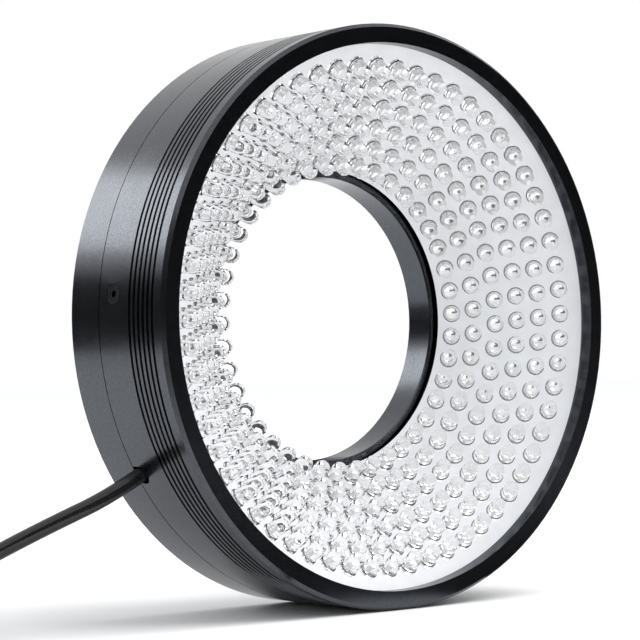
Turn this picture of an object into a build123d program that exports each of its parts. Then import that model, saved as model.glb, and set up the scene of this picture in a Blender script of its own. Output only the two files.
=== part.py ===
from build123d import *
from math import cos, degrees, hypot, pi, radians, sin, tan
import os

# Ring light for machine vision: a bored aluminium housing in two halves, a white flexible
# board rolled into a cone, six rows of 5 mm clear lamps, a resistor board and a round lead.
# Units are mm. The ring stands on its rim: Z up, the lit side faces -Y, and the origin is
# at the bottom centre of the housing. "Depth" is measured from the front face towards +Y.

# Housing
outer_r = 90.0             # outside radius, 180 mm across
depth = 47.0               # front face to rear face
parting = 32.0             # depth of the joint between front body and rear cover
parting_gap_w = 0.35       # shadow gap at that joint
parting_gap_deep = 0.6
front_chamfer = 1.1
rear_chamfer = 1.0
lip_w = 5.9                # front rim, from the outside to the opening
body_wall = 4.0            # front body, outside its grooves
skirt_wall = 3.4           # the cover's skirt, inside the front body
skirt_gap = 0.06           # radial gap of the skirt in the front body
bore_r = 45.3              # clear hole for the lens
bore_edge = 0.4            # small chamfer at both ends of the bore
bore_len = 10.8            # the hub's length behind its front rim
rear_plate = 3.0

# Grooves round the front body
groove_count = 6
groove_first = 5.2         # depth of the middle of the first groove
groove_pitch = 2.25
groove_width = 1.1
groove_deep = 0.8

# Lamp cone: the white board
board_depth = 4.5          # depth of the lit surface's outer edge
board_clear = 2.1          # from the bore out to the board's inner edge
board_raised = 1.6         # the inner edge's height in front of the hub's rim
board_thick = 0.5
board_seam = 0.4           # slit where the rolled board's two ends meet
board_seam_angle = 15.8    # degrees, between lamps on the side where the lead leaves
retainer_h = 3.0           # height of the ring that holds the board's outer edge
seat_inset = 1.0           # from the board's inner edge out to its seat
seat_h = 1.8               # height of that seat
collar_w = 1.0             # wall outside the seat
seat_gap = 0.05            # between the board's back and what carries it

# Lamps
lamp_r = 2.5
lamp_flange_r = 2.9
lamp_flange_h = 1.0
lamp_h = 7.4               # seat to tip, a short-bodied kind
lamp_seat_gap = 0.07       # a flat flange on the hollow side of the cone
row_first = 7.1            # down the slope, from the board's outer edge to the outer row
row_last = 4.5             # from the inner row to the board's inner edge
row_counts = (60, 56, 52, 48, 44, 42)              # outer row to inner row
row_phases = (0.8, 6.4, 6.2, 5.7, 3.1, 1.95)       # degrees, first lamp from 3 o'clock

# Resistor board behind the cone
pcb_inside = 2.45          # to the collar of the board's seat
pcb_clear = 1.5            # to the bosses of the mounting holes
pcb_thick = 1.6
pcb_boss_h = 2.4
pcb_boss_r = 3.2
pcb_screw_r = 1.25
pcb_screw_count = 4
pcb_screw_angle = 75.0
pcb_head_r = 2.3
pcb_head_h = 1.6
pcb_screw_len = 4.6
screw_gap = 0.1
resistor_l, resistor_w, resistor_h = 3.2, 1.6, 0.6
resistor_count = 27
resistor_pitch = 9.0       # degrees
resistor_start = 140.0     # degrees
resistor_inset = 2.2       # inward of the board's middle circle
diode_l, diode_w, diode_h = 6.8, 5.9, 2.2
diode_angle = 55.0
header_l, header_w, header_h = 8.0, 6.5, 6.0
header_out = 0.4           # outward of the board's middle circle
chip_gap = 0.02

# Rear mounting holes, M4
mount_inset = 11.5         # from the outside of the housing to a hole's middle
mount_count = 4
mount_angle = 54.0
mount_hole_r = 2.0
mount_boss_r = 4.5
mount_boss_h = 6.0
mount_hole_len = 7.0

# Side screws, M3 countersunk
side_count = 4
side_angle = -4.5
side_back = 7.15           # from the joint of the halves
side_head_r = 3.0
side_recess_r = 3.15
side_r = 1.5
side_len = 9.0
side_sink = 0.35
side_gap = 0.2
side_fit = 0.02
hex_flat = 2.0
hex_deep = 1.2

# Lead
cable_d = 4.8
cable_angle = 31.0         # degrees below level, on the side away from +X
cable_back = 2.8           # from the joint of the halves
notch_w = 6.0
hole_gap = 0.3             # radial, in the skirt
cable_inside = 7.1         # jacket left inside the skirt
cable_straight = 8.0       # straight run outside the housing
tie_w, tie_t = 2.6, 1.2    # nylon tie that stops the lead being pulled out
tie_inside = 3.1           # from the skirt to the middle of the tie
tie_gap = 0.05
wire_r = 0.6
wire_apart = 1.9
board_wire_angle = 105.0   # the short wires up to the lamp board

# Coil of the lead's put-away length, and what is on it
coil_out_x, coil_y = 75.0, 9.5     # from the side of the housing, and along the bore
coil_mid_d = 53.0
coil_pitch = 5.4           # turn to turn, and layer to layer
coil_in, coil_out = 5, 5   # quarter turns spiralling in and out
strap_t, strap_w = 0.8, 6.0
strap_gap = 0.45
strap_angle = 265.0
tail_hold = 8.0            # level, over the loop below
tail_run = 18.0            # down to the plug
tail_straight = 4.8
plug_w, plug_h, plug_l = 10.0, 8.0, 20.0
boot_r, boot_l = 3.4, 6.0
socket_w, socket_deep, contact_pitch = 1.9, 12.0, 3.0
contact_w, contact_l = 1.4, 10.0
latch_l, latch_w, latch_h = 9.0, 4.0, 1.2

# Directions and positions that follow from the sizes
front_y = -depth / 2
board_r = outer_r - lip_w
skirt_outer_r = outer_r - body_wall
skirt_in_r = skirt_outer_r - skirt_wall
hub_depth = depth - bore_len
plate_depth = depth - rear_plate
side_depth = parting - side_back
cable_depth = parting - cable_back
board_inner_r = bore_r + board_clear
board_inner_depth = hub_depth - board_raised
board_slant = hypot(board_r - board_inner_r, board_inner_depth - board_depth)
slope_r = (board_r - board_inner_r) / board_slant
slope_y = (board_inner_depth - board_depth) / board_slant
row_pitch = (board_slant - row_first - row_last) / (len(row_counts) - 1)
retainer_end = board_depth + retainer_h
seat_r = board_inner_r + seat_inset
seat_end = (board_inner_depth
            + (board_thick / slope_y + seat_gap - seat_inset) * slope_y / slope_r)
seat_top = seat_end - seat_h
collar_r = seat_r + seat_h * slope_r / slope_y + collar_w
mount_pcd = 2 * (outer_r - mount_inset)
pcb_out_r = mount_pcd / 2 - mount_boss_r - pcb_clear
pcb_in_r = collar_r + pcb_inside
pcb_mid_r = (pcb_in_r + pcb_out_r) / 2
header_r = pcb_mid_r + header_out
pcb_back = plate_depth - pcb_boss_h
pcb_front = pcb_back - pcb_thick
cable_r = cable_d / 2
cable_in_r = skirt_in_r - cable_inside
tie_r = skirt_in_r - tie_inside


def at(radius, angle, d):
    """A point at a radius, an angle below level on the -X side, and a depth."""
    a = radians(angle)
    return Vector(-radius * cos(a), front_y + d, outer_r - radius * sin(a))


def outward(angle):
    """The unit vector that points away from the ring's axis at an angle."""
    a = radians(angle)
    return Vector(-cos(a), 0, -sin(a))


def ring(points):
    """A ring with the given closed outline of (radius, depth) points."""
    outline = Polyline(*[(r, front_y + d) for r, d in points], close=True)
    turned = revolve(make_face(outline), Axis.Y, 360)
    return Pos(0, 0, outer_r) * turned


def radial(angle, d):
    """A frame at the ring's axis whose Z points outward at an angle and a depth."""
    return Plane(origin=(0, front_y + d, outer_r), x_dir=(0, 1, 0), z_dir=outward(angle))


def rod(angle, d, r, inner, outer):
    """A round bar along the radius at an angle and a depth."""
    bar = Cylinder(r, outer - inner, align=(Align.CENTER, Align.CENTER, Align.MIN))
    return radial(angle, d).location * Pos(0, 0, inner) * bar


def post(radius, angle, d0, d1, r):
    """A round bar along the ring's axis, between two depths."""
    bar = Cylinder(r, d1 - d0, align=(Align.CENTER, Align.CENTER, Align.MIN))
    return Plane(origin=at(radius, angle, d0), x_dir=outward(angle), z_dir=(0, 1, 0)).location * bar


def block(radius, angle, d_back, across, along, tall):
    """A box that stands forward of a depth, its sides square to the radius."""
    box = Box(across, along, tall, align=(Align.CENTER, Align.CENTER, Align.MIN))
    frame = Plane(origin=at(radius, angle, d_back), x_dir=outward(angle), z_dir=(0, -1, 0))
    return frame.location * box


def spaced(count, start):
    """Evenly spaced angles round the ring."""
    return [start + 360 * i / count for i in range(count)]


def back_r(d):
    """Radius of the board's back surface at a depth."""
    return board_r + board_thick / slope_y - (d - board_depth) * slope_r / slope_y


def side_recess(angle):
    """The countersink and clearance hole of one side screw."""
    top = outer_r + 0.5
    hole = rod(angle, side_depth, side_r + side_gap, skirt_outer_r - 1, top)
    mouth = rod(angle, side_depth, side_recess_r, outer_r - side_sink, top)
    cone = Cone(side_r + side_gap, side_recess_r, side_recess_r - side_r - side_gap,
                align=(Align.CENTER, Align.CENTER, Align.MAX))
    sink = radial(angle, side_depth).location * Pos(0, 0, outer_r - side_sink) * cone
    return hole + mouth + sink


def front_body():
    """Front half of the housing: lip, wall, grooves and the notch for the lead."""
    ledge = board_depth
    outline = [(board_r, 0), (outer_r - front_chamfer, 0), (outer_r, front_chamfer)]
    for i in range(groove_count):
        mid = groove_first + i * groove_pitch
        a, b = mid - groove_width / 2, mid + groove_width / 2
        outline += [(outer_r, a), (outer_r - groove_deep, a + 0.2),
                    (outer_r - groove_deep, b - 0.2), (outer_r, b)]
    gap_r, gap_front = outer_r - parting_gap_deep, parting - parting_gap_w
    outline += [(outer_r, gap_front), (gap_r, gap_front), (gap_r, parting),
                (skirt_outer_r, parting), (skirt_outer_r, ledge), (board_r, ledge)]
    body = ring(outline)
    for angle in spaced(side_count, side_angle):
        body -= side_recess(angle)
    body -= rod(cable_angle, cable_depth, notch_w / 2, skirt_outer_r - 1, outer_r + 1)
    slot = Box(parting - cable_depth + 1, notch_w, outer_r - skirt_outer_r + 2,
               align=(Align.MIN, Align.CENTER, Align.MIN))
    body -= radial(cable_angle, cable_depth).location * Pos(0, 0, skirt_outer_r - 1) * slot
    return body


def rear_cover():
    """Rear half of the housing: plate, hub round the hole, skirt and bosses."""
    skirt_r = skirt_outer_r - skirt_gap
    outline = [(outer_r, parting), (outer_r, depth - rear_chamfer),
               (outer_r - rear_chamfer, depth), (bore_r + bore_edge, depth),
               (bore_r, depth - bore_edge), (bore_r, hub_depth + bore_edge),
               (bore_r + bore_edge, hub_depth), (seat_r, hub_depth), (seat_r, seat_end),
               (collar_r - collar_w, seat_top), (collar_r, seat_top), (collar_r, plate_depth),
               (skirt_in_r, plate_depth), (skirt_in_r, retainer_end),
               (skirt_r, retainer_end), (skirt_r, parting)]
    cover = ring(outline)
    for angle in spaced(mount_count, mount_angle):
        cover += post(mount_pcd / 2, angle, plate_depth - mount_boss_h, plate_depth + 1,
                      mount_boss_r)
    for angle in spaced(pcb_screw_count, pcb_screw_angle):
        cover += post(pcb_mid_r, angle, pcb_back, plate_depth + 1, pcb_boss_r)
    for angle in spaced(mount_count, mount_angle):
        cover -= post(mount_pcd / 2, angle, depth - mount_hole_len, depth + 1, mount_hole_r)
    for angle in spaced(pcb_screw_count, pcb_screw_angle):
        end = pcb_front + pcb_screw_len + 0.3
        cover -= post(pcb_mid_r, angle, pcb_back - 1, end, pcb_screw_r + side_fit)
    for angle in spaced(side_count, side_angle):
        cover -= rod(angle, side_depth, side_r + side_fit, skirt_in_r - 1, skirt_outer_r + 1)
    cover -= rod(cable_angle, cable_depth, cable_r + hole_gap, skirt_in_r - 1,
                 skirt_outer_r + 0.5)
    return cover


def board_retainer():
    """Ring that holds the board's outer edge up against the front lip."""
    gap = seat_gap
    edge_r = skirt_outer_r - skirt_gap
    return ring([(back_r(board_depth) + gap, board_depth), (edge_r, board_depth),
                 (edge_r, retainer_end), (back_r(retainer_end) + gap, retainer_end)])


def lamp_board():
    """White flexible board, rolled into a cone with one slit."""
    nr, ny = board_thick * slope_y, board_thick * slope_r
    board = ring([(board_r, board_depth), (board_r + nr, board_depth + ny),
                  (board_inner_r + nr, board_inner_depth + ny),
                  (board_inner_r, board_inner_depth)])
    slit = Box(depth, board_seam, board_r, align=(Align.MIN, Align.CENTER, Align.MIN))
    return board - radial(board_seam_angle, 0).location * Pos(0, 0, bore_r) * slit


def seat_frame(row, index):
    """A frame on the board's lit face, its Z square to the face."""
    slant = row_first + row * row_pitch
    angle = 180 + row_phases[row] + 360 * index / row_counts[row]
    r = board_r - slope_r * slant - slope_y * lamp_seat_gap
    d = board_depth + slope_y * slant - slope_r * lamp_seat_gap
    out = outward(angle)
    normal = Vector(-out.X * slope_y, -slope_r, -out.Z * slope_y)
    return Plane(origin=at(r, angle, d), x_dir=out.cross(Vector(0, 1, 0)), z_dir=normal)


def lamp_row(row):
    """One row of clear round lamps, seated on the front of the board."""
    neck = lamp_h - lamp_r
    side = Polyline((0, 0), (lamp_flange_r, 0), (lamp_flange_r, lamp_flange_h),
                    (lamp_r, lamp_flange_h), (lamp_r, neck))
    dome = CenterArc((0, neck), lamp_r, 0, 90)
    outline = side + dome + Line((0, lamp_h), (0, 0))
    lamp = revolve(Plane.XZ * make_face(outline), Axis.Z, 360)
    frames = [seat_frame(row, i) for i in range(row_counts[row])]
    return Compound(children=[f.location * lamp for f in frames])


def resistor_board():
    """Flat ring board on the cover's bosses."""
    board = ring([(pcb_in_r, pcb_front), (pcb_out_r, pcb_front), (pcb_out_r, pcb_back),
                  (pcb_in_r, pcb_back)])
    for angle in spaced(pcb_screw_count, pcb_screw_angle):
        board -= post(pcb_mid_r, angle, pcb_front - 1, pcb_back + 1, pcb_screw_r + screw_gap)
    return board


def on_board(radius, angle, across, along, tall):
    """A component on the resistor board's front face."""
    return block(radius, angle, pcb_front - chip_gap, across, along, tall)


def resistors():
    """Current-limiting resistors, one for each chain of lamps."""
    angles = [resistor_start + i * resistor_pitch for i in range(resistor_count)]
    keep = [a for a in angles if all(abs((a - s + 180) % 360 - 180) > resistor_pitch / 2
                                     for s in spaced(pcb_screw_count, pcb_screw_angle))]
    return Compound(children=[on_board(pcb_mid_r - resistor_inset, a, resistor_w, resistor_l,
                                       resistor_h) for a in keep])


def protection_diode():
    """Diode against a reversed supply."""
    return on_board(pcb_mid_r, diode_angle, diode_w, diode_l, diode_h)


def header():
    """Terminal block that takes the lead's two cores."""
    made = on_board(header_r, cable_angle, header_w, header_l, header_h)
    for side in (-1, 1):
        a = cable_angle + side * degrees(wire_apart / header_r)
        made -= post(header_r, a, pcb_front - header_h - 1, pcb_front - header_h + 1.5, 1.2)
    return made


def board_screws():
    """Pan-head screws of the resistor board."""
    made = []
    for angle in spaced(pcb_screw_count, pcb_screw_angle):
        head = post(pcb_mid_r, angle, pcb_front - pcb_head_h, pcb_front, pcb_head_r)
        slot = block(pcb_mid_r, angle, pcb_front - pcb_head_h + 0.7, 0.6, 3 * pcb_head_r, 2)
        made.append(head + post(pcb_mid_r, angle, pcb_front - 0.5, pcb_front + pcb_screw_len,
                                pcb_screw_r) - slot)
    return Compound(children=made)


def side_screws():
    """Countersunk screws that pin the front body to the cover's skirt."""
    made = []
    top = outer_r - side_sink
    tall = side_head_r - side_r
    for angle in spaced(side_count, side_angle):
        frame = radial(angle, side_depth).location
        head = Cone(side_r, side_head_r, tall, align=(Align.CENTER, Align.CENTER, Align.MAX))
        socket = extrude(RegularPolygon(hex_flat / 2, 6, major_radius=False), hex_deep + 1)
        screw = frame * Pos(0, 0, top) * head + rod(angle, side_depth, side_r, top - side_len,
                                                   top - tall / 2)
        made.append(screw - frame * Pos(0, 0, top - hex_deep) * socket)
    return Compound(children=made)


def lead_point(radius, d):
    """A point in the lead's own half-plane."""
    return at(radius, cable_angle, d)


def wire(side):
    """One core of the lead, from the cut jacket to the terminal block."""
    step = Vector(sin(radians(cable_angle)), 0, -cos(radians(cable_angle)))
    shift = step * (side * wire_apart / 2)
    mouth = header_r + header_w / 2
    into = pcb_front - header_h / 2
    points = [lead_point(cable_in_r, cable_depth), lead_point(cable_in_r - 2.2, cable_depth),
              lead_point(mouth + 2.2, into), lead_point(mouth, into)]
    path = FilletPolyline(*[p + shift for p in points], radius=1.4)
    return sweep(Plane(origin=path @ 0, z_dir=path % 0) * Circle(wire_r), path=path)


def board_wire(offset):
    """Short wire from the resistor board up to the lamp board."""
    radius = board_r - slope_r * (row_first + 3.5 * row_pitch) + board_thick * slope_y
    end = board_depth + (back_r(board_depth) - radius + wire_r) * slope_y / slope_r + 0.1
    return post(radius, board_wire_angle + offset, end, pcb_front, wire_r)


def lead_tie():
    """Nylon tie round the jacket, just inside the skirt."""
    band = rod(cable_angle, cable_depth, cable_r + tie_t, tie_r - tie_w / 2, tie_r + tie_w / 2)
    band -= rod(cable_angle, cable_depth, cable_r + tie_gap, tie_r - tie_w, tie_r + tie_w)
    head = Box(3.4, 4.4, tie_w + 1, align=(Align.MIN, Align.CENTER, Align.CENTER))
    place = radial(cable_angle, cable_depth).location * Pos(-cable_r - tie_t - 3.0, 0, tie_r)
    bore = rod(cable_angle, cable_depth, cable_r + tie_t - 0.2, tie_r - tie_w, tie_r + tie_w)
    return band + (place * head - bore)


# The lead's route: out of the notch, down past the cover and on to the surface
coil_z = strap_t + 0.05 + cable_r
coil_rise = coil_pitch
spiral_in = coil_pitch * coil_in / 4
coil_start_r = coil_mid_d / 2 + spiral_in / 2 + 0.3
coil_x = -outer_r - coil_out_x
lead_end = Vector(coil_x + 5.4, coil_y + coil_start_r, coil_z)
route = [
    lead_point(cable_in_r, cable_depth),
    lead_point(outer_r + cable_straight, cable_depth),
    Vector(-outer_r - 14.6, 17.3, 28.9),
    Vector(-outer_r - 32.5, 30.4, 17.6),
    Vector(-outer_r - 47.5, 37.2, 6.9),
    Vector(-outer_r - 58.5, lead_end.Y, coil_z),
    lead_end,
]


def route_radii():
    """One radius for each corner, as large as its two runs allow."""
    radii = []
    for a, b, c in zip(route, route[1:], route[2:]):
        turn = (b - a).get_angle(c - b)
        run = min((b - a).length, (c - b).length)
        radii.append(0.45 * run / tan(radians(turn / 2)))
    return radii


def tube(path, radius):
    """A round tube along a path."""
    return sweep(Plane(origin=path @ 0, z_dir=path % 0) * Circle(radius), path=path)


def cable():
    """The lead's free stretch."""
    radii = route_radii()
    print("lead corner radii", [round(r, 1) for r in radii])
    path = FilletPolyline(*route, radius=radii)
    made = tube(path, cable_r)
    print("lead length", round(path.length, 1), "volume ratio",
          round(made.volume / (pi * cable_r**2 * path.length), 4))
    return made


def coil_state(quarter):
    """Point and direction of the coil's line after a number of quarter turns."""
    mid = coil_in + 1
    sign = -1 if quarter < mid else (1 if quarter > mid else 0)
    r = coil_start_r - coil_pitch / 4 * (mid - abs(quarter - mid))
    a = radians(90 + 90 * quarter)
    climb = min(max((quarter - coil_in) / 2, 0), 1)
    z = coil_z + coil_rise * climb
    speed = coil_rise * 2 / pi * 0.75 if quarter == mid else 0
    point = Vector(coil_x + r * cos(a), coil_y + r * sin(a), z)
    inward = sign * coil_pitch / (2 * pi)
    heading = Vector(-r * sin(a) + inward * cos(a), r * cos(a) + inward * sin(a), speed)
    return point, heading.normalized()


def biarc(p0, t0, p1, t1):
    """Two arcs, tangent to each other and to a direction at each end."""
    v = p1 - p0
    c = t0.dot(t1)
    b = v.dot(t0 + t1)
    if abs(1 - c) < 1e-9:
        d = v.dot(v) / (4 * v.dot(t0))
    else:
        d = (-b + (b * b + 2 * (1 - c) * v.dot(v)) ** 0.5) / (2 * (1 - c))
    q0, q1 = p0 + t0 * d, p1 - t1 * d
    joint = (q0 + q1) * 0.5
    return [TangentArc(p0, joint, tangent=t0),
            TangentArc(joint, p1, tangent=(q1 - q0).normalized())]


def coil_path():
    """The coil's line: a straight end, the loops, the drop to the plug, a straight end."""
    states = [coil_state(q) for q in range(coil_in + 2 + coil_out + 1)]
    first, last = states[0], states[-1]
    way = Vector(-1, 0, 0)
    begin = Vector(lead_end.X, lead_end.Y, lead_end.Z)
    edges = [Line(begin, first[0])]
    heads = [way] + [s[1] for s in states[1:-1]] + [way]
    for (p0, _), (p1, _), t0, t1 in zip(states, states[1:], heads, heads[1:]):
        edges += biarc(p0, t0, p1, t1)
    held = last[0] + way * tail_hold
    foot = Vector(held.X - tail_run, held.Y, plug_h / 2)
    edges.append(Line(last[0], held))
    edges += biarc(held, way, foot, way)
    edges.append(Line(foot, foot + way * tail_straight))
    return Wire(edges)


def least_gap(path, thick, samples=1400):
    """Smallest distance between two stretches of a line, less the tube's thickness."""
    points = [path @ (i / samples) for i in range(samples + 1)]
    skip = int(samples * 3 * thick / path.length)
    best = 1e9
    for i in range(0, samples + 1, 2):
        for j in range(i + skip, samples + 1, 2):
            best = min(best, (points[i] - points[j]).length)
    return best - thick


def cable_coil():
    """The lead's put-away length, wound in two layers."""
    path = coil_path()
    made = tube(path, cable_r)
    print("coil length", round(path.length, 1), "gap", round(least_gap(path, cable_d), 2),
          "volume ratio", round(made.volume / (pi * cable_r**2 * path.length), 4))
    return made


def coil_strap():
    """Flat tie round the coil's bundle."""
    low = coil_start_r - coil_pitch / 4 * (coil_in + 1) - cable_r - strap_gap
    high = coil_start_r + cable_r + strap_gap
    tall = strap_t + 0.1 + cable_d + coil_rise + strap_gap
    ring_box = Box(high - low + 2 * strap_t, strap_w, tall + strap_t,
                   align=(Align.CENTER, Align.CENTER, Align.MIN))
    hole = Box(high - low, strap_w + 2, tall - strap_t,
               align=(Align.CENTER, Align.CENTER, Align.MIN))
    band = fillet(ring_box.edges().filter_by(Axis.Y), 1.2) - Pos(0, 0, strap_t) * hole
    place = Pos(coil_x, coil_y, 0) * Rot(0, 0, strap_angle) * Pos((low + high) / 2, 0, 0)
    return place * band


def plug_frame():
    """Where the lead meets the plug: Z along the plug, X up."""
    last = coil_state(coil_in + 2 + coil_out)[0]
    meet = Vector(last.X - tail_hold - tail_run - tail_straight, last.Y, plug_h / 2)
    return Plane(origin=meet, x_dir=(0, 0, 1), z_dir=(-1, 0, 0))


def plug_housing():
    """Moulded three-way plug with its boot and latch."""
    frame = plug_frame().location
    low = (Align.CENTER, Align.CENTER, Align.MIN)
    boot = Cylinder(boot_r, boot_l + 1, align=low)
    body = Pos(0, 0, boot_l) * Box(plug_h, plug_w, plug_l, align=low)
    body = fillet(body.edges().filter_by(Axis.Z), 0.6)
    latch = Pos(plug_h / 2, 0, boot_l + 1) * Box(2 * latch_h, latch_w, latch_l, align=low)
    made = boot + body + latch
    for i in (-1, 0, 1):
        hole = Box(socket_w, socket_w, socket_deep + 1, align=low)
        made -= Pos(0, i * contact_pitch, boot_l + plug_l - socket_deep) * hole
    return frame * made


def plug_contacts():
    """Crimped socket contacts in the plug."""
    frame = plug_frame().location
    low = (Align.CENTER, Align.CENTER, Align.MIN)
    made = []
    for i in (-1, 0, 1):
        tube_box = Box(contact_w, contact_w, contact_l, align=low)
        tube_box -= Pos(0, 0, 3) * Box(contact_w - 0.6, contact_w - 0.6, contact_l, align=low)
        place = Pos(0, i * contact_pitch, boot_l + plug_l - socket_deep)
        made.append(frame * place * tube_box)
    return Compound(children=made)


nodes = {
    "front_body": front_body,
    "rear_cover": rear_cover,
    "board_retainer": board_retainer,
    "lamp_board": lamp_board,
    "resistor_board": resistor_board,
    "resistors": resistors,
    "protection_diode": protection_diode,
    "terminal_header": header,
    "board_screws": board_screws,
    "side_screws": side_screws,
    "supply_wire_red": lambda: wire(-1),
    "supply_wire_black": lambda: wire(1),
    "board_wire_red": lambda: board_wire(-1.5),
    "board_wire_black": lambda: board_wire(1.5),
    "lead_tie": lead_tie,
    "lead_cable": cable,
    "lead_coil": cable_coil,
    "coil_strap": coil_strap,
    "plug_housing": plug_housing,
    "plug_contacts": plug_contacts,
}
for row in range(len(row_counts)):
    nodes[f"lamp_row_{row + 1}"] = lambda row=row: lamp_row(row)

os.makedirs("parts", exist_ok=True)
for name, make in nodes.items():
    export_step(make(), f"parts/{name}.step")
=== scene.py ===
"""Looks of the machine vision ring light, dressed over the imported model."""

import logging
import math
from dataclasses import dataclass, field
from enum import Enum
from typing import Protocol

import bmesh
import bpy
from mathutils import Matrix, Quaternion, Vector


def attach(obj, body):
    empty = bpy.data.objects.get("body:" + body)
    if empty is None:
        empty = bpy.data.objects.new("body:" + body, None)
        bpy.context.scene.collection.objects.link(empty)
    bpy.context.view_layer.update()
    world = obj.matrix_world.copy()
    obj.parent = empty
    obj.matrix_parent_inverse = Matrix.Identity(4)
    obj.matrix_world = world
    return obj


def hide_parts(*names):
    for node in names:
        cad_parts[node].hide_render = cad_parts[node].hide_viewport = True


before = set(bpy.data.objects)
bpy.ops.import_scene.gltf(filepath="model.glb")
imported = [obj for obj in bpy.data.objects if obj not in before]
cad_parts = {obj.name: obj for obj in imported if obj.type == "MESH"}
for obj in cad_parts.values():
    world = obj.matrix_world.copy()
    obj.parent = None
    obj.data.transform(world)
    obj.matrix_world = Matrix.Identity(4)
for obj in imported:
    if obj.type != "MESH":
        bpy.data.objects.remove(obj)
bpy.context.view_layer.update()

log = logging.getLogger("ring_light")

MM = 0.001
ROOT = "root"

Colour = tuple[float, float, float]
Span = tuple[float, float]


class Slot(str, Enum):
    """The record's material slots, named for the new pieces."""

    EPOXY = "clear_epoxy"
    JACKET = "pvc_black"
    TIE = "nylon_black"
    CONTACT = "contact_tin"


class Rays(str, Enum):
    """The kinds of ray, by their Light Path output."""

    CAMERA = "Is Camera Ray"
    GLOSSY = "Is Glossy Ray"
    THROUGH = "Is Transmission Ray"
    SHADOW = "Is Shadow Ray"
    DIFFUSE = "Is Diffuse Ray"


def any_ray(tree: bpy.types.NodeTree, *kinds: Rays) -> bpy.types.NodeSocket:
    """Adds nodes that give 1 for rays of the named kinds.

    Args:
        tree: The node tree of a material or the world.
        *kinds: The kinds of ray, at least one.

    Returns:
        The socket that carries the factor.
    """
    path = tree.nodes.new("ShaderNodeLightPath")
    last = path.outputs[kinds[0].value]
    for kind in kinds[1:]:
        either = tree.nodes.new("ShaderNodeMath")
        either.operation = "MAXIMUM"
        tree.links.new(last, either.inputs[0])
        tree.links.new(path.outputs[kind.value], either.inputs[1])
        last = either.outputs[0]
    return last


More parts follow.
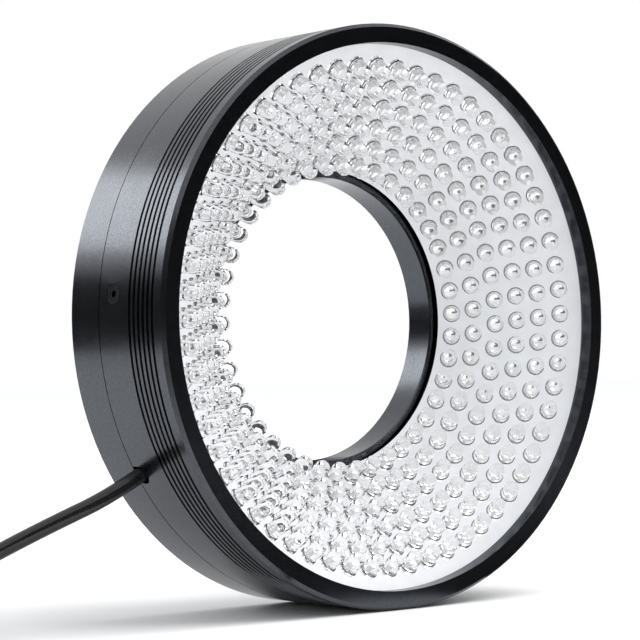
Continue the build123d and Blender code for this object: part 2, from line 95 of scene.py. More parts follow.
class Recipe:
    """A material under construction: one principled shader and what feeds it."""

    def __init__(self, name: str) -> None:
        """Starts an empty node tree.

        Args:
            name: The material's name.
        """
        self.material = bpy.data.materials.new(name)
        self.material.use_nodes = True
        self.tree = self.material.node_tree
        self.tree.nodes.clear()
        self.shader = self.node("ShaderNodeBsdfPrincipled")
        self.out = self.node("ShaderNodeOutputMaterial").inputs["Surface"]
        self.feed(self.shader.outputs["BSDF"], self.out)
        self.place = self.node("ShaderNodeTexCoord").outputs["Object"]

    def node(self, kind: str, **settings: object) -> bpy.types.Node:
        """Adds a node.

        Args:
            kind: The node's type.
            **settings: Properties of the node itself.

        Returns:
            The new node.
        """
        made = self.tree.nodes.new(kind)
        for key, value in settings.items():
            setattr(made, key, value)
        return made

    def feed(self, source: object, target: bpy.types.NodeSocket) -> None:
        """Joins a socket to another, or writes a plain value into it.

        Args:
            source: An output socket or a value.
            target: The input socket.
        """
        if isinstance(source, bpy.types.NodeSocket):
            self.tree.links.new(source, target)
        else:
            target.default_value = source

    def surface(self, **values: object) -> None:
        """Sets the shader's own sockets.

        Args:
            **values: What each socket gets. An underscore in a name stands for a space.
        """
        for key, value in values.items():
            self.feed(value, self.shader.inputs[key.replace("_", " ")])

    def noise(self, size: float, detail: float = 3.0,
              rough: float = 0.55) -> bpy.types.NodeSocket:
        """Adds a noise pattern on object coordinates.

        Args:
            size: The pattern's feature size in metres.
            detail: How many finer layers it has.
            rough: How strong the finer layers are.

        Returns:
            The pattern's value, about 0.3 to 0.7.
        """
        made = self.node("ShaderNodeTexNoise")
        made.inputs["Scale"].default_value = 1 / size
        made.inputs["Detail"].default_value = detail
        made.inputs["Roughness"].default_value = rough
        self.feed(self.place, made.inputs["Vector"])
        return made.outputs["Fac"]

    def cells(self, size: float) -> bpy.types.NodeSocket:
        """Adds a pattern of small pits.

        Args:
            size: The distance between pits in metres.

        Returns:
            The distance to the nearest pit's middle.
        """
        made = self.node("ShaderNodeTexVoronoi")
        made.inputs["Scale"].default_value = 1 / size
        self.feed(self.place, made.inputs["Vector"])
        return made.outputs["Distance"]

    def remap(self, value: bpy.types.NodeSocket, low: float, high: float,
              start: float = 0.3, end: float = 0.7) -> bpy.types.NodeSocket:
        """Spreads a pattern between two numbers.

        Args:
            value: The pattern.
            low: The result at start.
            high: The result at end.
            start: The pattern's lower end.
            end: The pattern's upper end.

        Returns:
            The spread value.
        """
        made = self.node("ShaderNodeMapRange")
        for key, number in zip(("From Min", "From Max", "To Min", "To Max"),
                               (start, end, low, high)):
            made.inputs[key].default_value = number
        self.feed(value, made.inputs["Value"])
        return made.outputs["Result"]

    def blend(self, value: bpy.types.NodeSocket, dark: Colour,
              light: Colour) -> bpy.types.NodeSocket:
        """Turns a pattern into a colour between two others.

        Args:
            value: The pattern, 0 to 1.
            dark: The colour at 0.
            light: The colour at 1.

        Returns:
            The colour.
        """
        made = self.node("ShaderNodeMix", data_type="RGBA")
        for socket in made.inputs:
            if socket.name in "AB" and socket.type == "RGBA":
                socket.default_value = (*(dark if socket.name == "A" else light), 1)
        self.feed(value, made.inputs["Factor"])
        return next(s for s in made.outputs if s.type == "RGBA")

    def mottled(self, pattern: bpy.types.NodeSocket, colour: Colour,
                share: float) -> bpy.types.NodeSocket:
        """Varies a colour's brightness by a pattern.

        Args:
            pattern: The pattern, as noise gives it.
            colour: The colour where the pattern is high.
            share: How bright the colour is where the pattern is low.

        Returns:
            The varied colour.
        """
        darker = tuple(c * share for c in colour)
        return self.blend(self.remap(pattern, 0.0, 1.0), darker, colour)

    def clear_for_light(self, tint: float) -> None:
        """Lets light fall straight through, so that what is behind isn't left dark.

        Args:
            tint: The part of the light that passes.
        """
        gap = self.node("ShaderNodeBsdfTransparent")
        gap.inputs["Color"].default_value = (tint, tint, tint, 1)
        both = self.node("ShaderNodeMixShader")
        self.feed(any_ray(self.tree, Rays.SHADOW, Rays.DIFFUSE), both.inputs[0])
        self.feed(self.shader.outputs["BSDF"], both.inputs[1])
        self.feed(gap.outputs[0], both.inputs[2])
        self.feed(both.outputs[0], self.out)

    def bump(self, height: bpy.types.NodeSocket, depth: float, strength: float) -> None:
        """Feeds a height pattern to the shader's normal.

        Args:
            height: The pattern, 0 to 1.
            depth: Its depth in metres.
            strength: How much of it shows.
        """
        made = self.node("ShaderNodeBump")
        made.inputs["Distance"].default_value = depth
        made.inputs["Strength"].default_value = strength
        last = self.shader.inputs["Normal"]
        if last.is_linked:
            self.feed(last.links[0].from_socket, made.inputs["Normal"])
        self.feed(height, made.inputs["Height"])
        self.feed(made.outputs["Normal"], last)


class Finish(Protocol):
    """What every finish can do."""

    def material(self) -> bpy.types.Material:
        """Makes the material."""


@dataclass(frozen=True)
class BlastedAnodise:
    """Bead-blasted aluminium, black anodised."""

    colour: Colour = (0.058, 0.062, 0.070)
    lighter: float = 1.75
    grain: float = 0.45 * MM
    grain_depth: float = 0.012 * MM
    pits: float = 0.315 * MM
    pit_depth: float = 0.008 * MM
    clouds: float = 6 * MM
    roughness: Span = (0.19, 0.23)

    def material(self) -> bpy.types.Material:
        """Makes the material.

        Returns:
            The finished material.
        """
        made = Recipe("anodised black")
        grain = made.noise(self.grain, 2.0, 0.6)
        lighter = tuple(c * self.lighter for c in self.colour)
        made.surface(Base_Color=made.blend(made.remap(grain, 0.0, 1.0), self.colour, lighter),
                     Metallic=1.0,
                     Roughness=made.remap(made.noise(self.clouds), *self.roughness))
        made.bump(made.cells(self.pits), self.pit_depth, 0.3)
        made.bump(grain, self.grain_depth, 0.35)
        return made.material


@dataclass(frozen=True)
class Moulded:
    """A moulded plastic with a fine erosion texture."""

    name: str
    colour: Colour
    roughness: float
    glow: float = 0.0
    darker: float = 0.86
    clouds: float = 4 * MM
    grain: float = 0.35 * MM
    grain_depth: float = 0.02 * MM
    glow_reach: Colour = (0.002, 0.002, 0.0016)
    glow_scale: float = 0.3

    def material(self) -> bpy.types.Material:
        """Makes the material.

        Returns:
            The finished material.
        """
        made = Recipe(self.name)
        made.surface(Base_Color=made.mottled(made.noise(self.clouds), self.colour, self.darker),
                     IOR=1.5,
                     Roughness=made.remap(made.noise(self.grain), self.roughness - 0.06,
                                          self.roughness + 0.08),
                     Subsurface_Weight=self.glow, Subsurface_Radius=self.glow_reach,
                     Subsurface_Scale=self.glow_scale)
        made.bump(made.noise(self.grain), self.grain_depth, 0.5)
        return made.material


@dataclass(frozen=True)
class ClearEpoxy:
    """Cast clear epoxy of the lamps, with faint flow marks."""

    name: str = "clear epoxy"
    light: float = 0.998
    tint: float = 0.99
    index: float = 1.48
    darker: float = 0.985
    flow: float = 1.4 * MM
    flow_depth: float = 0.012 * MM
    roughness: Span = (0.0, 0.015)

    def material(self) -> bpy.types.Material:
        """Makes the material.

        Returns:
            The finished material.
        """
        made = Recipe(self.name)
        flow = made.noise(self.flow, 2.0)
        made.surface(Base_Color=made.mottled(flow, (self.light,) * 3, self.darker),
                     Transmission_Weight=1.0, IOR=self.index,
                     Roughness=made.remap(flow, *self.roughness))
        made.bump(flow, self.flow_depth, 0.25)
        made.clear_for_light(self.tint)
        return made.material


@dataclass(frozen=True)
class Plated:
    """A plated or oxidised metal with fine drawing marks."""

    name: str
    colour: Colour
    roughness: float
    metal: float = 1.0
    darker: float = 0.72
    clouds: float = 1.5 * MM
    marks: float = 0.12 * MM
    mark_depth: float = 0.006 * MM

    def material(self) -> bpy.types.Material:
        """Makes the material.

        Returns:
            The finished material.
        """
        made = Recipe(self.name)
        marks = made.noise(self.marks, rough=0.6)
        made.surface(Base_Color=made.mottled(made.noise(self.clouds), self.colour, self.darker),
                     Metallic=self.metal,
                     Roughness=made.remap(marks, self.roughness - 0.08, self.roughness + 0.12))
        made.bump(marks, self.mark_depth, 0.5)
        return made.material


@dataclass(frozen=True)
class WhiteMask:
    """White solder mask over copper on a flexible board."""

    colour: Colour = (0.84, 0.85, 0.875)
    darker: float = 0.93
    clouds: float = 7 * MM
    grain: float = 0.5 * MM
    grain_depth: float = 0.02 * MM
    sheen: float = 0.3 * MM
    roughness: Span = (0.38, 0.55)
    bands: float = 57.0
    band_edge: Span = (0.86, 0.93)
    band_depth: float = 0.035 * MM

    def material(self) -> bpy.types.Material:
        """Makes the material: soft clouds, and rings where copper lies under the mask.

        Returns:
            The finished material.
        """
        made = Recipe("white solder mask")
        rings = made.node("ShaderNodeTexWave", wave_type="BANDS", bands_direction="Y",
                          wave_profile="SIN")
        made.feed(made.place, rings.inputs["Vector"])
        rings.inputs["Scale"].default_value = self.bands
        rings.inputs["Distortion"].default_value = 0.6
        rings.inputs["Detail"].default_value = 1.0
        copper = made.remap(rings.outputs["Fac"], 0.0, 1.0, *self.band_edge)
        made.surface(Base_Color=made.mottled(made.noise(self.clouds), self.colour, self.darker),
                     IOR=1.5,
                     Roughness=made.remap(made.noise(self.sheen), *self.roughness))
        made.bump(copper, self.band_depth, 0.25)
        made.bump(made.noise(self.grain), self.grain_depth, 0.25)
        return made.material


@dataclass(frozen=True)
class GreenMask:
    """Green solder mask with copper tracks under it."""

    mask: Colour = (0.012, 0.13, 0.045)
    track: Colour = (0.03, 0.24, 0.075)
    sheen: float = 0.4 * MM
    roughness: Span = (0.25, 0.4)
    tracks: float = 260.0
    track_gap: float = 0.12
    track_edge: Span = (0.2, 0.8)
    track_depth: float = 0.035 * MM

    def material(self) -> bpy.types.Material:
        """Makes the material.

        Returns:
            The finished material.
        """
        made = Recipe("green solder mask")
        bricks = made.node("ShaderNodeTexBrick", offset=0.35, squash=1.0)
        turned = made.node("ShaderNodeMapping")
        turned.inputs["Rotation"].default_value = (math.pi / 2, 0, 0)
        made.feed(made.place, turned.inputs["Vector"])
        made.feed(turned.outputs["Vector"], bricks.inputs["Vector"])
        bricks.inputs["Scale"].default_value = self.tracks
        bricks.inputs["Mortar Size"].default_value = self.track_gap
        edge = made.remap(bricks.outputs["Fac"], 0.0, 1.0, *self.track_edge)
        made.surface(Base_Color=made.blend(edge, self.mask, self.track), IOR=1.5,
                     Roughness=made.remap(made.noise(self.sheen), *self.roughness))
        made.bump(edge, self.track_depth, 0.6)
        return made.material


@dataclass(frozen=True)
class Jacket:
    """Smooth extruded PVC of the lead and its cores."""

    name: str = "pvc black"
    colour: Colour = (0.010, 0.010, 0.011)
    roughness: float = 0.12
    dust: float = 1.2 * MM
    dust_edge: Span = (0.45, 0.8)
    sheen: float = 0.5 * MM
    waves: float = 2.6 * MM
    wave_depth: float = 0.05 * MM

    def material(self) -> bpy.types.Material:
        """Makes the material.

        Returns:
            The finished material.
        """
        made = Recipe(self.name)
        dust = made.remap(made.noise(self.dust, 5.0, 0.65), 0.0, 1.0, *self.dust_edge)
        lighter = tuple(c * 1.7 + 0.004 for c in self.colour)
        made.surface(Base_Color=made.blend(dust, self.colour, lighter), IOR=1.52,
                     Roughness=made.remap(made.noise(self.sheen), self.roughness - 0.05,
                                          self.roughness + 0.1))
        made.bump(made.noise(self.waves, 2.0), self.wave_depth, 0.12)
        return made.material


def dress(node: str, finish: Finish) -> None:
    """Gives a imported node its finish.

    Args:
        node: The node's name.
        finish: The finish.
    """
    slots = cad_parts[node].data.materials
    slots.clear()
    slots.append(finish.material())
    log.info("%s: dressed", node)


def placed(name: str, data: bpy.types.ID) -> bpy.types.Object:
    """Puts new data into the scene, at the world's origin.

    Args:
        name: The object's name.
        data: A mesh, curve, lamp or camera.

    Returns:
        The new object.
    """
    made = bpy.data.objects.new(name, data)
    bpy.context.scene.collection.objects.link(made)
    return made


def meshed(name: str, shape: bmesh.types.BMesh) -> bpy.types.Object:
    """Turns a finished shape into an object.

    Args:
        name: The object's name.
        shape: The shape, which is freed.

    Returns:
        The new object.
    """
    data = bpy.data.meshes.new(name)
    shape.to_mesh(data)
    shape.free()
    return placed(name, data)


def solid(name: str, shape: bmesh.types.BMesh, slot: Slot, *finishes: Finish,
          smooth: float = 35.0) -> bpy.types.Object:
    """Turns a finished shape into a piece of the light.

    Args:
        name: The piece's name.
        shape: The shape, which is freed.
        slot: The record's slot that its finish belongs to. Not used.
        *finishes: Its finishes, in the order of its material indices.
        smooth: Edges that turn by more than this many degrees stay sharp.

    Returns:
        The new object, riding on the light's one body.
    """
    bmesh.ops.recalc_face_normals(shape, faces=shape.faces)
    limit = math.radians(smooth)
    for face in shape.faces:
        face.smooth = True
    for edge in shape.edges:
        if len(edge.link_faces) == 2 and edge.calc_face_angle(0.0) > limit:
            edge.smooth = False
    made = meshed(name, shape)
    for finish in finishes:
        made.data.materials.append(finish.material())
    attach(made, ROOT)
    log.info("%s: %d faces", name, len(made.data.polygons))
    return made


def turn(shape: bmesh.types.BMesh, outline: list[Span], steps: int) -> None:
    """Spins an open outline of (radius, height) points round Z.

    Args:
        shape: The shape that gets the spun faces.
        outline: The points, in metres.
        steps: How many faces go round.
    """
    verts = [shape.verts.new((r, 0, z)) for r, z in outline]
    edges = [shape.edges.new(pair) for pair in zip(verts, verts[1:])]
    bmesh.ops.spin(shape, geom=verts + edges, cent=(0, 0, 0), axis=(0, 0, 1),
                   angle=2 * math.pi, steps=steps, use_merge=True, use_duplicate=False)
    bmesh.ops.remove_doubles(shape, verts=shape.verts, dist=1e-7)


@dataclass
class Viewpoint:
    """The photograph's camera, in metres and degrees."""

    place: tuple[float, float, float] = (-0.480507, -0.563583, 0.076120)
    aim: tuple[float, float, float] = (0.63864, 0.76929, 0.01812)
    roll: float = -0.862
    lens: float = 132.39
    sensor: float = 36.0
    clip: Span = (0.01, 50.0)

    def build(self) -> None:
        """Makes the camera and puts it in charge."""
        data = bpy.data.cameras.new("camera")
        data.lens, data.sensor_width = self.lens, self.sensor
        data.clip_start, data.clip_end = self.clip
        camera = placed("camera", data)
        camera.rotation_mode = "QUATERNION"
        camera.location = self.place
        facing = Vector(self.aim).to_track_quat("-Z", "Y")
        camera.rotation_quaternion = facing @ Quaternion((0, 0, 1), math.radians(self.roll))
        bpy.context.scene.camera = camera
        bpy.context.view_layer.update()


@dataclass
class SoftBox:
    """One soft lamp of the studio, in metres, degrees and watts."""

    name: str
    bearing: float
    rise: float
    away: float
    width: float
    height: float
    power: float
    mirrored: bool = True

    def build(self, middle: Vector) -> None:
        """Makes the lamp and turns it to the light.

        Args:
            middle: The point that it faces.
        """
        data = bpy.data.lights.new(self.name, "AREA")
        data.shape, data.size, data.size_y = "RECTANGLE", self.width, self.height
        data.energy = self.power
        lamp = placed(self.name, data)
        a, e = math.radians(self.bearing), math.radians(self.rise)
        way = Vector((math.sin(a) * math.cos(e), -math.cos(a) * math.cos(e), math.sin(e)))
        lamp.location = middle + way * self.away
        lamp.rotation_mode = "QUATERNION"
        lamp.rotation_quaternion = (-way).to_track_quat("-Z", "Y")
        lamp.visible_camera = False
        lamp.visible_glossy = self.mirrored


@dataclass
class Studio:
    """Floor, surroundings, lamps and the dark cards that shape the reflections."""

    middle: Vector = field(default_factory=lambda: Vector((0, 0, 0.09)))
    ambient: float = 0.74
    ambient_tint: Colour = (0.97, 0.985, 1.0)
    floor_size: float = 6.0
    floor_white: float = 0.95
    floor_lift: Span = (0.0, 0.30)
    floor_reach: Span = (0.25, 1.3)
    card_black: Colour = (0.03, 0.03, 0.032)
    card_foot: float = -0.5 * MM
    card_lift: float = MM
    band_away: float = 0.75
    band_high: float = 0.25
    screen_near: float = 0.05
    screen_away: float = 0.9
    screen_high: float = 0.55
    screen_sides: Span = (-60.0, 120.0)
    lens_card: Span = (0.15, 1.3)
    lens_sides: Span = (-100.0, -30.0)
    boxes: tuple[SoftBox, ...] = (
        SoftBox("back_left_box", 207.0, 25.0, 1.3, 0.8, 0.36, 3.2),
        SoftBox("top_box", 50.0, 62.0, 1.5, 1.5, 1.2, 18.0, False),
        SoftBox("right_box", 80.0, 30.0, 1.4, 0.6, 0.6, 4.5, False),
    )

    def build(self) -> None:
        """Makes everything that isn't the light itself."""
        bpy.context.scene.view_settings.view_transform = "Standard"
        self.floor()
        self.world()
        self.cards()
        for box in self.boxes:
            box.build(self.middle)

    def floor(self) -> None:
        """Makes the white floor, which keeps the light's shadow.

        Away from the light it gives off a little of its own, to the rays that see it as
        background.
        """
        shape = bmesh.new()
        bmesh.ops.create_grid(shape, x_segments=1, y_segments=1, size=self.floor_size)
        made = meshed("floor", shape)
        recipe = Recipe("floor white")
        recipe.tree.nodes.remove(recipe.shader)
        plain = recipe.node("ShaderNodeBsdfDiffuse")
        plain.inputs["Color"].default_value = (*[self.floor_white] * 3, 1)
        away = recipe.node("ShaderNodeVectorMath", operation="LENGTH")
        recipe.feed(recipe.place, away.inputs[0])
        fade = recipe.remap(away.outputs["Value"], *self.floor_lift, *self.floor_reach)
        scale = recipe.node("ShaderNodeMath", operation="MULTIPLY")
        seen = any_ray(recipe.tree, Rays.CAMERA, Rays.GLOSSY, Rays.THROUGH)
        recipe.feed(seen, scale.inputs[0])
        recipe.feed(fade, scale.inputs[1])
        lift = recipe.node("ShaderNodeEmission")
        recipe.feed(scale.outputs[0], lift.inputs["Strength"])
        both = recipe.node("ShaderNodeAddShader")
        recipe.feed(plain.outputs[0], both.inputs[0])
        recipe.feed(lift.outputs[0], both.inputs[1])
        recipe.feed(both.outputs[0], recipe.out)
        made.data.materials.append(recipe.material)

    def world(self) -> None:
        """Makes the surroundings: white where they are seen, softer as a light."""
        world = bpy.data.worlds.new("studio")
        bpy.context.scene.world = world
        world.use_nodes = True
        tree = world.node_tree
        tree.nodes.clear()
        pick = tree.nodes.new("ShaderNodeMixShader")
        seen = any_ray(tree, Rays.CAMERA, Rays.GLOSSY, Rays.THROUGH)
        tree.links.new(seen, pick.inputs[0])
        for socket, strength, colour in ((pick.inputs[1], self.ambient, self.ambient_tint),
                                         (pick.inputs[2], 1.0, (1, 1, 1))):
            light = tree.nodes.new("ShaderNodeBackground")
            light.inputs["Strength"].default_value = strength
            light.inputs["Color"].default_value = (*colour, 1)
            tree.links.new(light.outputs[0], socket)
        out = tree.nodes.new("ShaderNodeOutputWorld")
        tree.links.new(pick.outputs[0], out.inputs["Surface"])

    def cards(self) -> None:
        """Makes the dark cards: a low band, a screen with a ground card, a card for lenses."""
        band = bmesh.new()
        turn(band, [(self.band_away, self.card_foot), (self.band_away, self.band_high)], 48)
        self.card("dark_band", band, "camera", "diffuse", "shadow", "transmission")
        edge = [(self.screen_near, self.card_lift), (self.screen_away, self.card_foot),
                (self.screen_away, self.screen_high)]
        self.card("dark_screen", self.fan(edge, *self.screen_sides), "camera", "diffuse",
                  "shadow", "transmission")
        edge = [(away, self.card_lift) for away in self.lens_card]
        self.card("lens_card", self.fan(edge, *self.lens_sides), "camera", "diffuse",
                  "shadow", "glossy")

    def fan(self, edge: list[Span], start: float, end: float) -> bmesh.types.BMesh:
        """Shapes a card that goes part of the way round the ring light.

        Args:
            edge: Its (distance, height) points in metres.
            start: The bearing of its first edge in degrees.
            end: The bearing of its last edge.

        Returns:
            The open shape.
        """
        shape = bmesh.new()
        verts = [shape.verts.new((0, -away, high)) for away, high in edge]
        edges = [shape.edges.new(pair) for pair in zip(verts, verts[1:])]
        bmesh.ops.rotate(shape, verts=verts, cent=(0, 0, 0),
                         matrix=Matrix.Rotation(math.radians(start), 3, "Z"))
        bmesh.ops.spin(shape, geom=verts + edges, cent=(0, 0, 0), axis=(0, 0, 1),
                       angle=math.radians(end - start), steps=24)
        return shape

    def card(self, name: str, shape: bmesh.types.BMesh, *unseen: str) -> None:
        """Makes one dark card.

        Args:
            name: The card's name.
            shape: Its shape, which is freed.
            *unseen: The kinds of ray that don't see it.
        """
        made = meshed(name, shape)
        material = bpy.data.materials.new(f"{name} black")
        material.use_nodes = True
        shader = material.node_tree.nodes["Principled BSDF"]
        shader.inputs["Base Color"].default_value = (*self.card_black, 1)
        shader.inputs["Roughness"].default_value = 0.9
        made.data.materials.append(material)
        for rays in unseen:
            setattr(made, f"visible_{rays}", False)


@dataclass
class Ring:
    """Places on the ring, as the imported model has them. Sizes are in millimetres."""

    outer_r: float = 90.0
    depth: float = 47.0

    def at(self, radius: float, angle: float, depth: float) -> Vector:
        """Finds a point of the ring.

        Args:
            radius: Distance from the ring's axis.
            angle: Degrees below level, on the side of the lead.
            depth: Distance behind the front face.

        Returns:
            The point in metres.
        """
        a = math.radians(angle)
        return Vector((-radius * math.cos(a), depth - self.depth / 2,
                       self.outer_r - radius * math.sin(a))) * MM

    def outward(self, angle: float) -> Vector:
        """The direction away from the axis.

        Args:
            angle: Degrees below level, on the side of the lead.

        Returns:
            The direction, of length 1.
        """
        a = math.radians(angle)
        return Vector((-math.cos(a), 0, -math.sin(a)))


@dataclass
class CoilTie:
    """The nylon tie round the coil. Sizes are in millimetres."""

    coil_middle: Span
    angle: float = 265.0
    span: Span = (18.425, 33.825)
    tall: float = 12.35
    wide: float = 6.0
    thick: float = 0.8
    bend: float = 3.6
    head: tuple[float, float, float] = (5.4, 7.2, 2.6)
    head_at: tuple[float, float, float] = (1.0, 0.0, 13.25)
    head_bend: float = 0.6
    end: tuple[float, float, float] = (3.6, 4.8, 0.9)
    end_at: tuple[float, float, float] = (-3.0, 0.0, 12.85)
    end_bend: float = 0.3

    def build(self) -> bpy.types.Object:
        """Makes a thin band, its head and its cut end.

        Returns:
            The tie.
        """
        shape = bmesh.new()
        low, high = self.span
        band = self.block(shape, (high - low, self.wide, self.tall), (0, 0, self.tall / 2),
                          self.bend, "Y")
        ends = [face for face in band if abs(face.normal.y) > 0.9]
        bmesh.ops.delete(shape, geom=ends, context="FACES")
        bmesh.ops.recalc_face_normals(shape, faces=shape.faces)
        bmesh.ops.solidify(shape, geom=shape.faces, thickness=self.thick * MM)
        self.block(shape, self.head, self.head_at, self.head_bend, "XYZ")
        self.block(shape, self.end, self.end_at, self.end_bend, "XYZ")
        place = Matrix.Translation(Vector((*self.coil_middle, 0)) * MM)
        turned = Matrix.Rotation(math.radians(self.angle), 4, "Z")
        out = Matrix.Translation(Vector(((low + high) / 2, 0, 0)) * MM)
        bmesh.ops.transform(shape, matrix=place @ turned @ out, verts=shape.verts)
        made = solid("coil_tie", shape, Slot.TIE,
                     Moulded("tie black", (0.018, 0.018, 0.019), 0.34))
        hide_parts("coil_strap")
        return made

    def block(self, shape: bmesh.types.BMesh, size: tuple[float, float, float],
              middle: tuple[float, float, float], bend: float,
              along: str) -> list[bmesh.types.BMFace]:
        """Adds a block with rounded edges.

        Args:
            shape: The shape that gets the block.
            size: Its sides.
            middle: Its middle.
            bend: The radius of the rounded edges.
            along: The axes that the rounded edges follow.

        Returns:
            The block's faces.
        """
        old = set(shape.faces)
        cube = set(bmesh.ops.create_cube(shape, size=1.0)["verts"])
        sides = [edge for edge in shape.edges if cube.issuperset(edge.verts)
                 and self.axis(edge) in along]
        place = Matrix.Translation(Vector(middle) * MM)
        sized = Matrix.Diagonal((*[side * MM for side in size], 1))
        bmesh.ops.transform(shape, matrix=place @ sized, verts=list(cube))
        bmesh.ops.bevel(shape, geom=sides, offset=bend * MM, segments=4, affect="EDGES",
                        profile=0.5, material=-1)
        added = [face for face in shape.faces if face not in old]
        for face in added:
            face.normal_update()
        return added

    def axis(self, edge: bmesh.types.BMEdge) -> str:
        """Names the axis that an edge follows.

        Args:
            edge: The edge.

        Returns:
            The letter of the axis.
        """
        way = edge.verts[0].co - edge.verts[1].co
        return max("XYZ", key=lambda letter: abs(way["XYZ".index(letter)]))


@dataclass
class Lead:
    """The lead: out of the notch, down to the floor, and the put-away coil."""

    ring: Ring
    thick: float = 4.8
    angle: float = 31.0
    depth: float = 29.2
    cut_r: float = 75.5
    wall_r: float = 90.0
    straight_r: float = 98.0
    way: tuple[tuple[float, float, float], ...] = (
        (-104.6, 17.3, 28.9), (-122.5, 30.4, 17.6), (-137.5, 37.2, 6.9),
        (-148.5, 39.675, 3.25), (-159.6, 39.675, 3.25))
    coil_middle: Span = (-165.0, 9.5)
    coil_r: float = 30.175
    coil_z: float = 3.25
    pitch: float = 5.4
    turns: int = 3
    per_turn: int = 18
    tail: tuple[tuple[float, float, float], ...] = (
        (-169.0, 39.675, 8.65), (-173.0, 39.675, 8.65), (-179.0, 39.675, 8.1),
        (-185.0, 39.675, 4.55), (-191.0, 39.675, 4.0), (-196.4, 39.675, 4.0))
    length: float = 645.0

    def coil_points(self) -> list[Vector]:
        """Works out the coil: in along the floor, up one layer, and out again.

        Returns:
            The coil's control points in millimetres.
        """
        swell = 1 / math.cos(math.pi / self.per_turn)
        halfway = 2 * self.turns
        found = []
        for i in range(self.turns * self.per_turn + 1):
            quarters = 4 * i / self.per_turn
            inward = self.pitch / 4 * (halfway - abs(quarters - halfway))
            r = (self.coil_r - inward) * swell
            a = math.radians(90 + 90 * quarters)
            climb = min(max((quarters - halfway + 1) / 2, 0), 1)
            found.append(Vector((self.coil_middle[0] + r * math.cos(a),
                                 self.coil_middle[1] + r * math.sin(a),
                                 self.coil_z + self.pitch * climb)))
        return found

    def build(self) -> bpy.types.Object:
        """Makes the lead as one smooth curve.

        Returns:
            The lead.
        """
        points = [self.ring.at(r, self.angle, self.depth)
                  for r in (self.cut_r, self.straight_r)]
        points += [Vector(p) * MM for p in (*self.way, *self.coil_points(), *self.tail)]
        data = bpy.data.curves.new("lead", "CURVE")
        data.dimensions = "3D"
        line = data.splines.new("NURBS")
        line.points.add(len(points) - 1)
        for point, place in zip(line.points, points):
            point.co = (*place, 1)
        line.order_u = 3
        line.use_endpoint_u = True
        data.resolution_u = 8
        data.bevel_depth, data.bevel_resolution = self.thick / 2 * MM, 5
        data.use_fill_caps = True
        data.materials.append(Jacket().material())
        made = placed("lead", data)
        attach(made, ROOT)
        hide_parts("lead_cable", "lead_coil")
        tie = CoilTie(self.coil_middle).build()
        tuple(self.ring.at(self.wall_r, self.angle, self.depth))
        log.info("lead: %d control points", len(points))
        return made


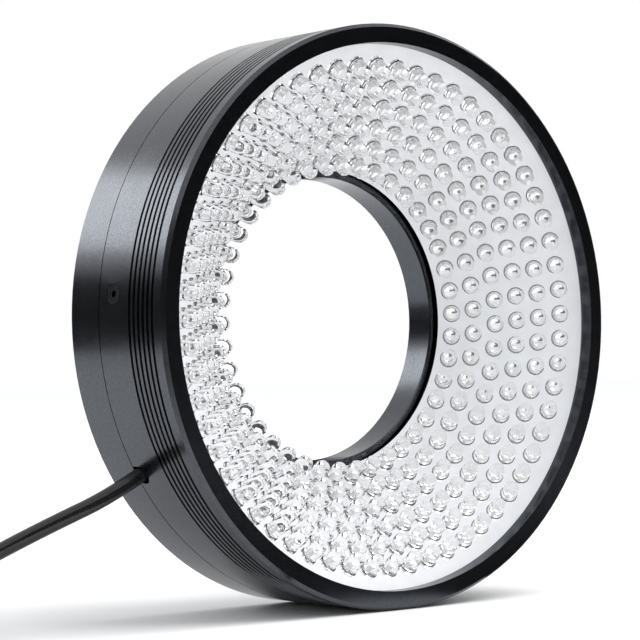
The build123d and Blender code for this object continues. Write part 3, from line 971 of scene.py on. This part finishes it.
@dataclass
class LampCone:
    """Six rows of 5 mm clear lamps on the cone. Sizes are in millimetres."""

    ring: Ring
    board_r: float = 84.1
    board_depth: float = 4.5
    inner_r: float = 47.4
    inner_depth: float = 34.6
    row_first: float = 7.1
    row_last: float = 4.5
    counts: tuple[int, ...] = (60, 56, 52, 48, 44, 42)
    phases: tuple[float, ...] = (0.8, 6.4, 6.2, 5.7, 3.1, 1.95)
    seat_gap: float = 0.07
    lamp_r: float = 2.5
    flange_r: float = 2.9
    flange_h: float = 1.0
    rim_w: float = 0.32
    tall: float = 7.4
    dome_angles: tuple[float, ...] = (27, 52, 73)
    lamp_sides: int = 14
    cup_z: float = 3.2
    dish_r: float = 1.15
    dish_angles: tuple[float, ...] = (0, 12, 24, 36)
    dish_rim: float = 0.07
    cup_foot_r: float = 0.55
    cup_foot: float = 0.3
    cup_sides: int = 12
    leg_foot: float = 0.2
    leg_thick: float = 0.45
    legs: tuple[tuple[float, float, float], ...] = ((0.0, 0.6, -0.2), (-1.25, 0.4, 0.1))
    leg_gap: float = 0.8
    hair: float = 0.01

    def seats(self, row: int) -> list[Matrix]:
        """Finds where a row's lamps stand.

        Args:
            row: The row, 0 for the outer one.

        Returns:
            One matrix for each lamp, Z along its axis.
        """
        fall = Vector((self.board_r - self.inner_r, self.inner_depth - self.board_depth))
        slant = fall.length
        in_r, in_d = fall / slant
        pitch = (slant - self.row_first - self.row_last) / (len(self.counts) - 1)
        down = self.row_first + row * pitch
        r = self.board_r - in_r * down - in_d * self.seat_gap
        d = self.board_depth + in_d * down - in_r * self.seat_gap
        found = []
        for i in range(self.counts[row]):
            angle = 180 + self.phases[row] + 360 * i / self.counts[row]
            out = self.ring.outward(angle)
            up = Vector((-out.x * in_d, -in_r, -out.z * in_d)).normalized()
            side = out.cross(Vector((0, 1, 0))).normalized()
            turned = Matrix((side, up.cross(side), up)).transposed().to_4x4()
            found.append(Matrix.Translation(self.ring.at(r, angle, d)) @ turned)
        return found

    def lens(self) -> bmesh.types.BMesh:
        """Shapes one clear body: flange with a chamfer, barrel and dome. The flange's side and
        chamfer get a near-black finish of their own, a painted shade for the dark line round
        the lamp's edge.

        Returns:
            The shape, standing on Z = 0, in metres.
        """
        shape = bmesh.new()
        neck = self.tall - self.lamp_r
        outline = [(0, 0), (self.flange_r, 0), (self.flange_r, self.flange_h - self.rim_w),
                   (self.flange_r - self.rim_w, self.flange_h), (self.lamp_r, self.flange_h),
                   (self.lamp_r, neck)]
        outline += [(self.lamp_r * math.cos(a), neck + self.lamp_r * math.sin(a))
                    for a in map(math.radians, self.dome_angles)]
        outline.append((0, self.tall))
        turn(shape, [(r * MM, z * MM) for r, z in outline], self.lamp_sides)
        # Faces outside this radius (the flange's side and chamfer) get material 1, a painted
        # shade for the dark outline at the flange.
        rim = (self.flange_r - self.rim_w - self.hair) * MM
        for face in shape.faces:
            if all(math.hypot(v.co.x, v.co.y) > rim and v.co.z > 0 for v in face.verts):
                face.material_index = 1
        return shape

    def innards(self) -> bmesh.types.BMesh:
        """Shapes what is cast inside one lamp: the cup on its leg, and the other leg.

        Returns:
            The shape, in metres.
        """
        shape = bmesh.new()
        z, foot = self.cup_z, self.cup_z - self.cup_foot
        cup = [(self.dish_r * math.sin(a), z + self.dish_r * (1 - math.cos(a)))
               for a in map(math.radians, self.dish_angles)]
        cup += [(cup[-1][0] + self.dish_rim, cup[-1][1]), (self.cup_foot_r, foot), (0, foot)]
        turn(shape, [(r * MM, h * MM) for r, h in cup], self.cup_sides)
        for x, wide, above in self.legs:
            high = z + above
            leg = bmesh.ops.create_cube(shape, size=1.0)
            sized = Matrix.Diagonal((wide * MM, self.leg_thick * MM,
                                     (high - self.leg_foot) * MM, 1))
            place = Matrix.Translation(Vector((x, 0, (self.leg_foot + high) / 2)) * MM)
            bmesh.ops.transform(shape, matrix=place @ sized, verts=leg["verts"])
        for face in shape.faces:
            x, y, high = face.calc_center_median() / MM
            if high < z - 2 * self.hair or math.hypot(x, y) > self.leg_gap:
                face.material_index = 1
        return shape

    def row_of(self, one: bmesh.types.BMesh, row: int) -> bmesh.types.BMesh:
        """Repeats a shape at each seat of a row.

        Args:
            one: The shape of a single lamp's part, which is freed.
            row: The row, 0 for the outer one.

        Returns:
            The whole row as one shape.
        """
        sample = bpy.data.meshes.new("sample")
        one.to_mesh(sample)
        one.free()
        many = bmesh.new()
        for seat in self.seats(row):
            start = len(many.verts)
            many.from_mesh(sample)
            many.verts.ensure_lookup_table()
            bmesh.ops.transform(many, matrix=seat, verts=many.verts[start:])
        bpy.data.meshes.remove(sample)
        return many

    def build(self) -> None:
        """Makes the lamps' clear bodies and what is inside them, row by row."""
        clear = ClearEpoxy()
        # Near-black epoxy for the flange's side and chamfer: painted shade for the dark outline
        # round each lamp.
        edge = ClearEpoxy("flange edge painted shade", light=0.025, tint=0.9)
        silver = Plated("silver plating", (0.93, 0.93, 0.94), 0.1, metal=0.85)
        legs = Plated("matte silver", (0.97, 0.97, 0.97), 0.4, metal=0.1)
        for row in range(len(self.counts)):
            made = solid(f"clear_lamps_{row + 1}", self.row_of(self.lens(), row), Slot.EPOXY,
                         clear, edge, smooth=50.0)
            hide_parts(f"lamp_row_{row + 1}")
            made = solid(f"lamp_frames_{row + 1}", self.row_of(self.innards(), row),
                         Slot.CONTACT, silver, legs)
            made.visible_shadow = made.visible_diffuse = False


@dataclass
class Housing:
    """The two halves of the housing and the small parts on them."""

    def build(self) -> None:
        """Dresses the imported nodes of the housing."""
        alloy = BlastedAnodise()
        for node in ("front_body", "rear_cover"):
            dress(node, alloy)
        dress("side_screws", Plated("black oxide", (0.05, 0.05, 0.053), 0.3))
        dress("board_retainer", Moulded("black polymer", (0.02, 0.02, 0.021), 0.5))
        dress("lamp_board", WhiteMask())


@dataclass
class Electronics:
    """The resistor board, what is on it, and its wires."""

    def build(self) -> None:
        """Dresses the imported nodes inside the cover."""
        dress("resistor_board", GreenMask())
        dress("resistors", Moulded("chip black", (0.022, 0.022, 0.024), 0.38))
        dress("protection_diode", Moulded("diode body", (0.018, 0.018, 0.018), 0.42))
        dress("terminal_header", Moulded("terminal green", (0.03, 0.23, 0.10), 0.4))
        dress("board_screws", Plated("bright zinc", (0.62, 0.63, 0.66), 0.24))
        red = Jacket("insulation red", (0.42, 0.012, 0.010), 0.32)
        black = Jacket("insulation black", (0.012, 0.012, 0.012), 0.32)
        for kind in ("supply_wire", "board_wire"):
            dress(f"{kind}_red", red)
            dress(f"{kind}_black", black)
        dress("lead_tie", Moulded("tie nylon", (0.016, 0.016, 0.017), 0.36))


@dataclass
class LeadEnd:
    """The plug on the lead."""

    def build(self) -> None:
        """Dresses the plug."""
        dress("plug_housing", Moulded("natural nylon", (0.74, 0.72, 0.65), 0.38, glow=0.25))
        dress("plug_contacts", Plated("tin plating", (0.80, 0.79, 0.76), 0.24))


def main() -> None:
    """Builds the camera, the lead, the light and the studio, in that order."""
    logging.basicConfig(level=logging.INFO, format="%(message)s")
    Viewpoint().build()
    ring = Ring()
    for part in (Lead(ring), Housing(), LampCone(ring), Electronics(), LeadEnd(), Studio()):
        part.build()
        log.info("%s: done", type(part).__name__)


if __name__ == "__main__":
    main()
